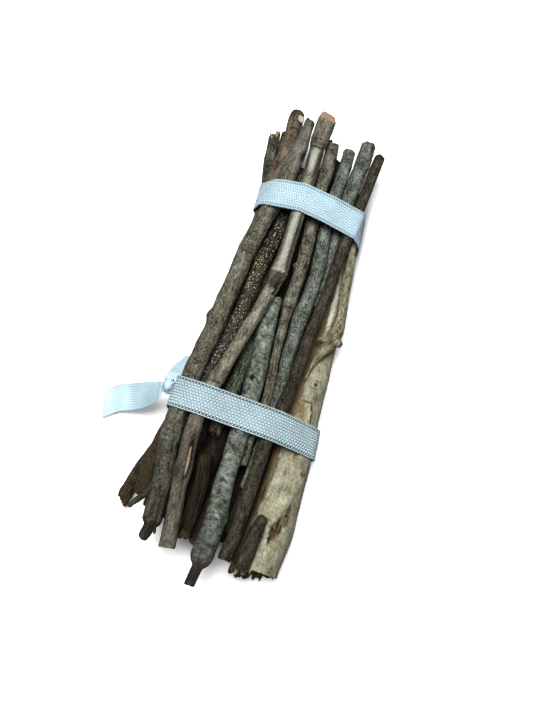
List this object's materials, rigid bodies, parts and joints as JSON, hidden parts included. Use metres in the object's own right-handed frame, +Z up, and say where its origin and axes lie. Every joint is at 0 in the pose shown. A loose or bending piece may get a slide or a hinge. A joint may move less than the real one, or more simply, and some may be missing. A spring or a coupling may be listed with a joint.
{
  "type": "bundle of twigs",
  "caption": "Bundle of cut sticks with a pale debarked log, lying flat, held by white knitted elastic bands; the band at the butt end is knotted at the side with free ends.",
  "frame": {"origin": "middle of the underside of the bundle's box, on the surface it lies on", "axes": "+Y along the sticks towards their thin tops, +Z up, +X towards the pale log"},
  "size_m": [0.0968, 0.2094, 0.0365],
  "materials": {
    "grey_bark": "rough grey-brown bark",
    "tan_bark": "smooth tan bark",
    "brown_bark": "brown fibrous bark",
    "speckled_bark": "dark bark with pale speckles",
    "green_bark": "greenish grey bark",
    "lenticel_bark": "grey bark with cross marks",
    "lichen_bark": "wrinkled grey bark with lichen",
    "purple_bark": "dark purple-brown bark",
    "pale_wood": "weathered cream and ochre debarked wood",
    "dark_bark": "dark rough bark",
    "elastic": "white knitted elastic"
  },
  "bodies": {
    "root": {"far_left_twig": "grey_bark", "floor_twig_1": "dark_bark", "floor_twig_2": "grey_bark", "floor_twig_3": "brown_bark", "floor_twig_4": "tan_bark", "pale_log": "pale_wood", "thin_grey_twig": "grey_bark", "mossy_twig": "green_bark", "middle_twig_1": "dark_bark", "middle_twig_2": "brown_bark", "russet_twig": "brown_bark", "middle_twig_3": "grey_bark", "brown_twig": "brown_bark", "pale_torn_twig": "pale_wood", "ridged_twig": "brown_bark", "blunt_grey_twig": "lichen_bark", "speckled_twig": "speckled_bark", "propping_twig": "dark_bark", "lichen_twig": "lichen_bark", "slim_grey_twig": "grey_bark", "green_twig": "green_bark", "lenticel_twig": "lenticel_bark", "grey_bark_twig": "grey_bark", "zigzag_twig": "tan_bark", "purple_twig": "purple_bark", "log_side_branch": "dark_bark", "upper_band": "elastic", "lower_band": "elastic", "band_knot": "elastic", "long_tail": "elastic", "tucked_tail": "elastic"}
  },
  "joints": []
}
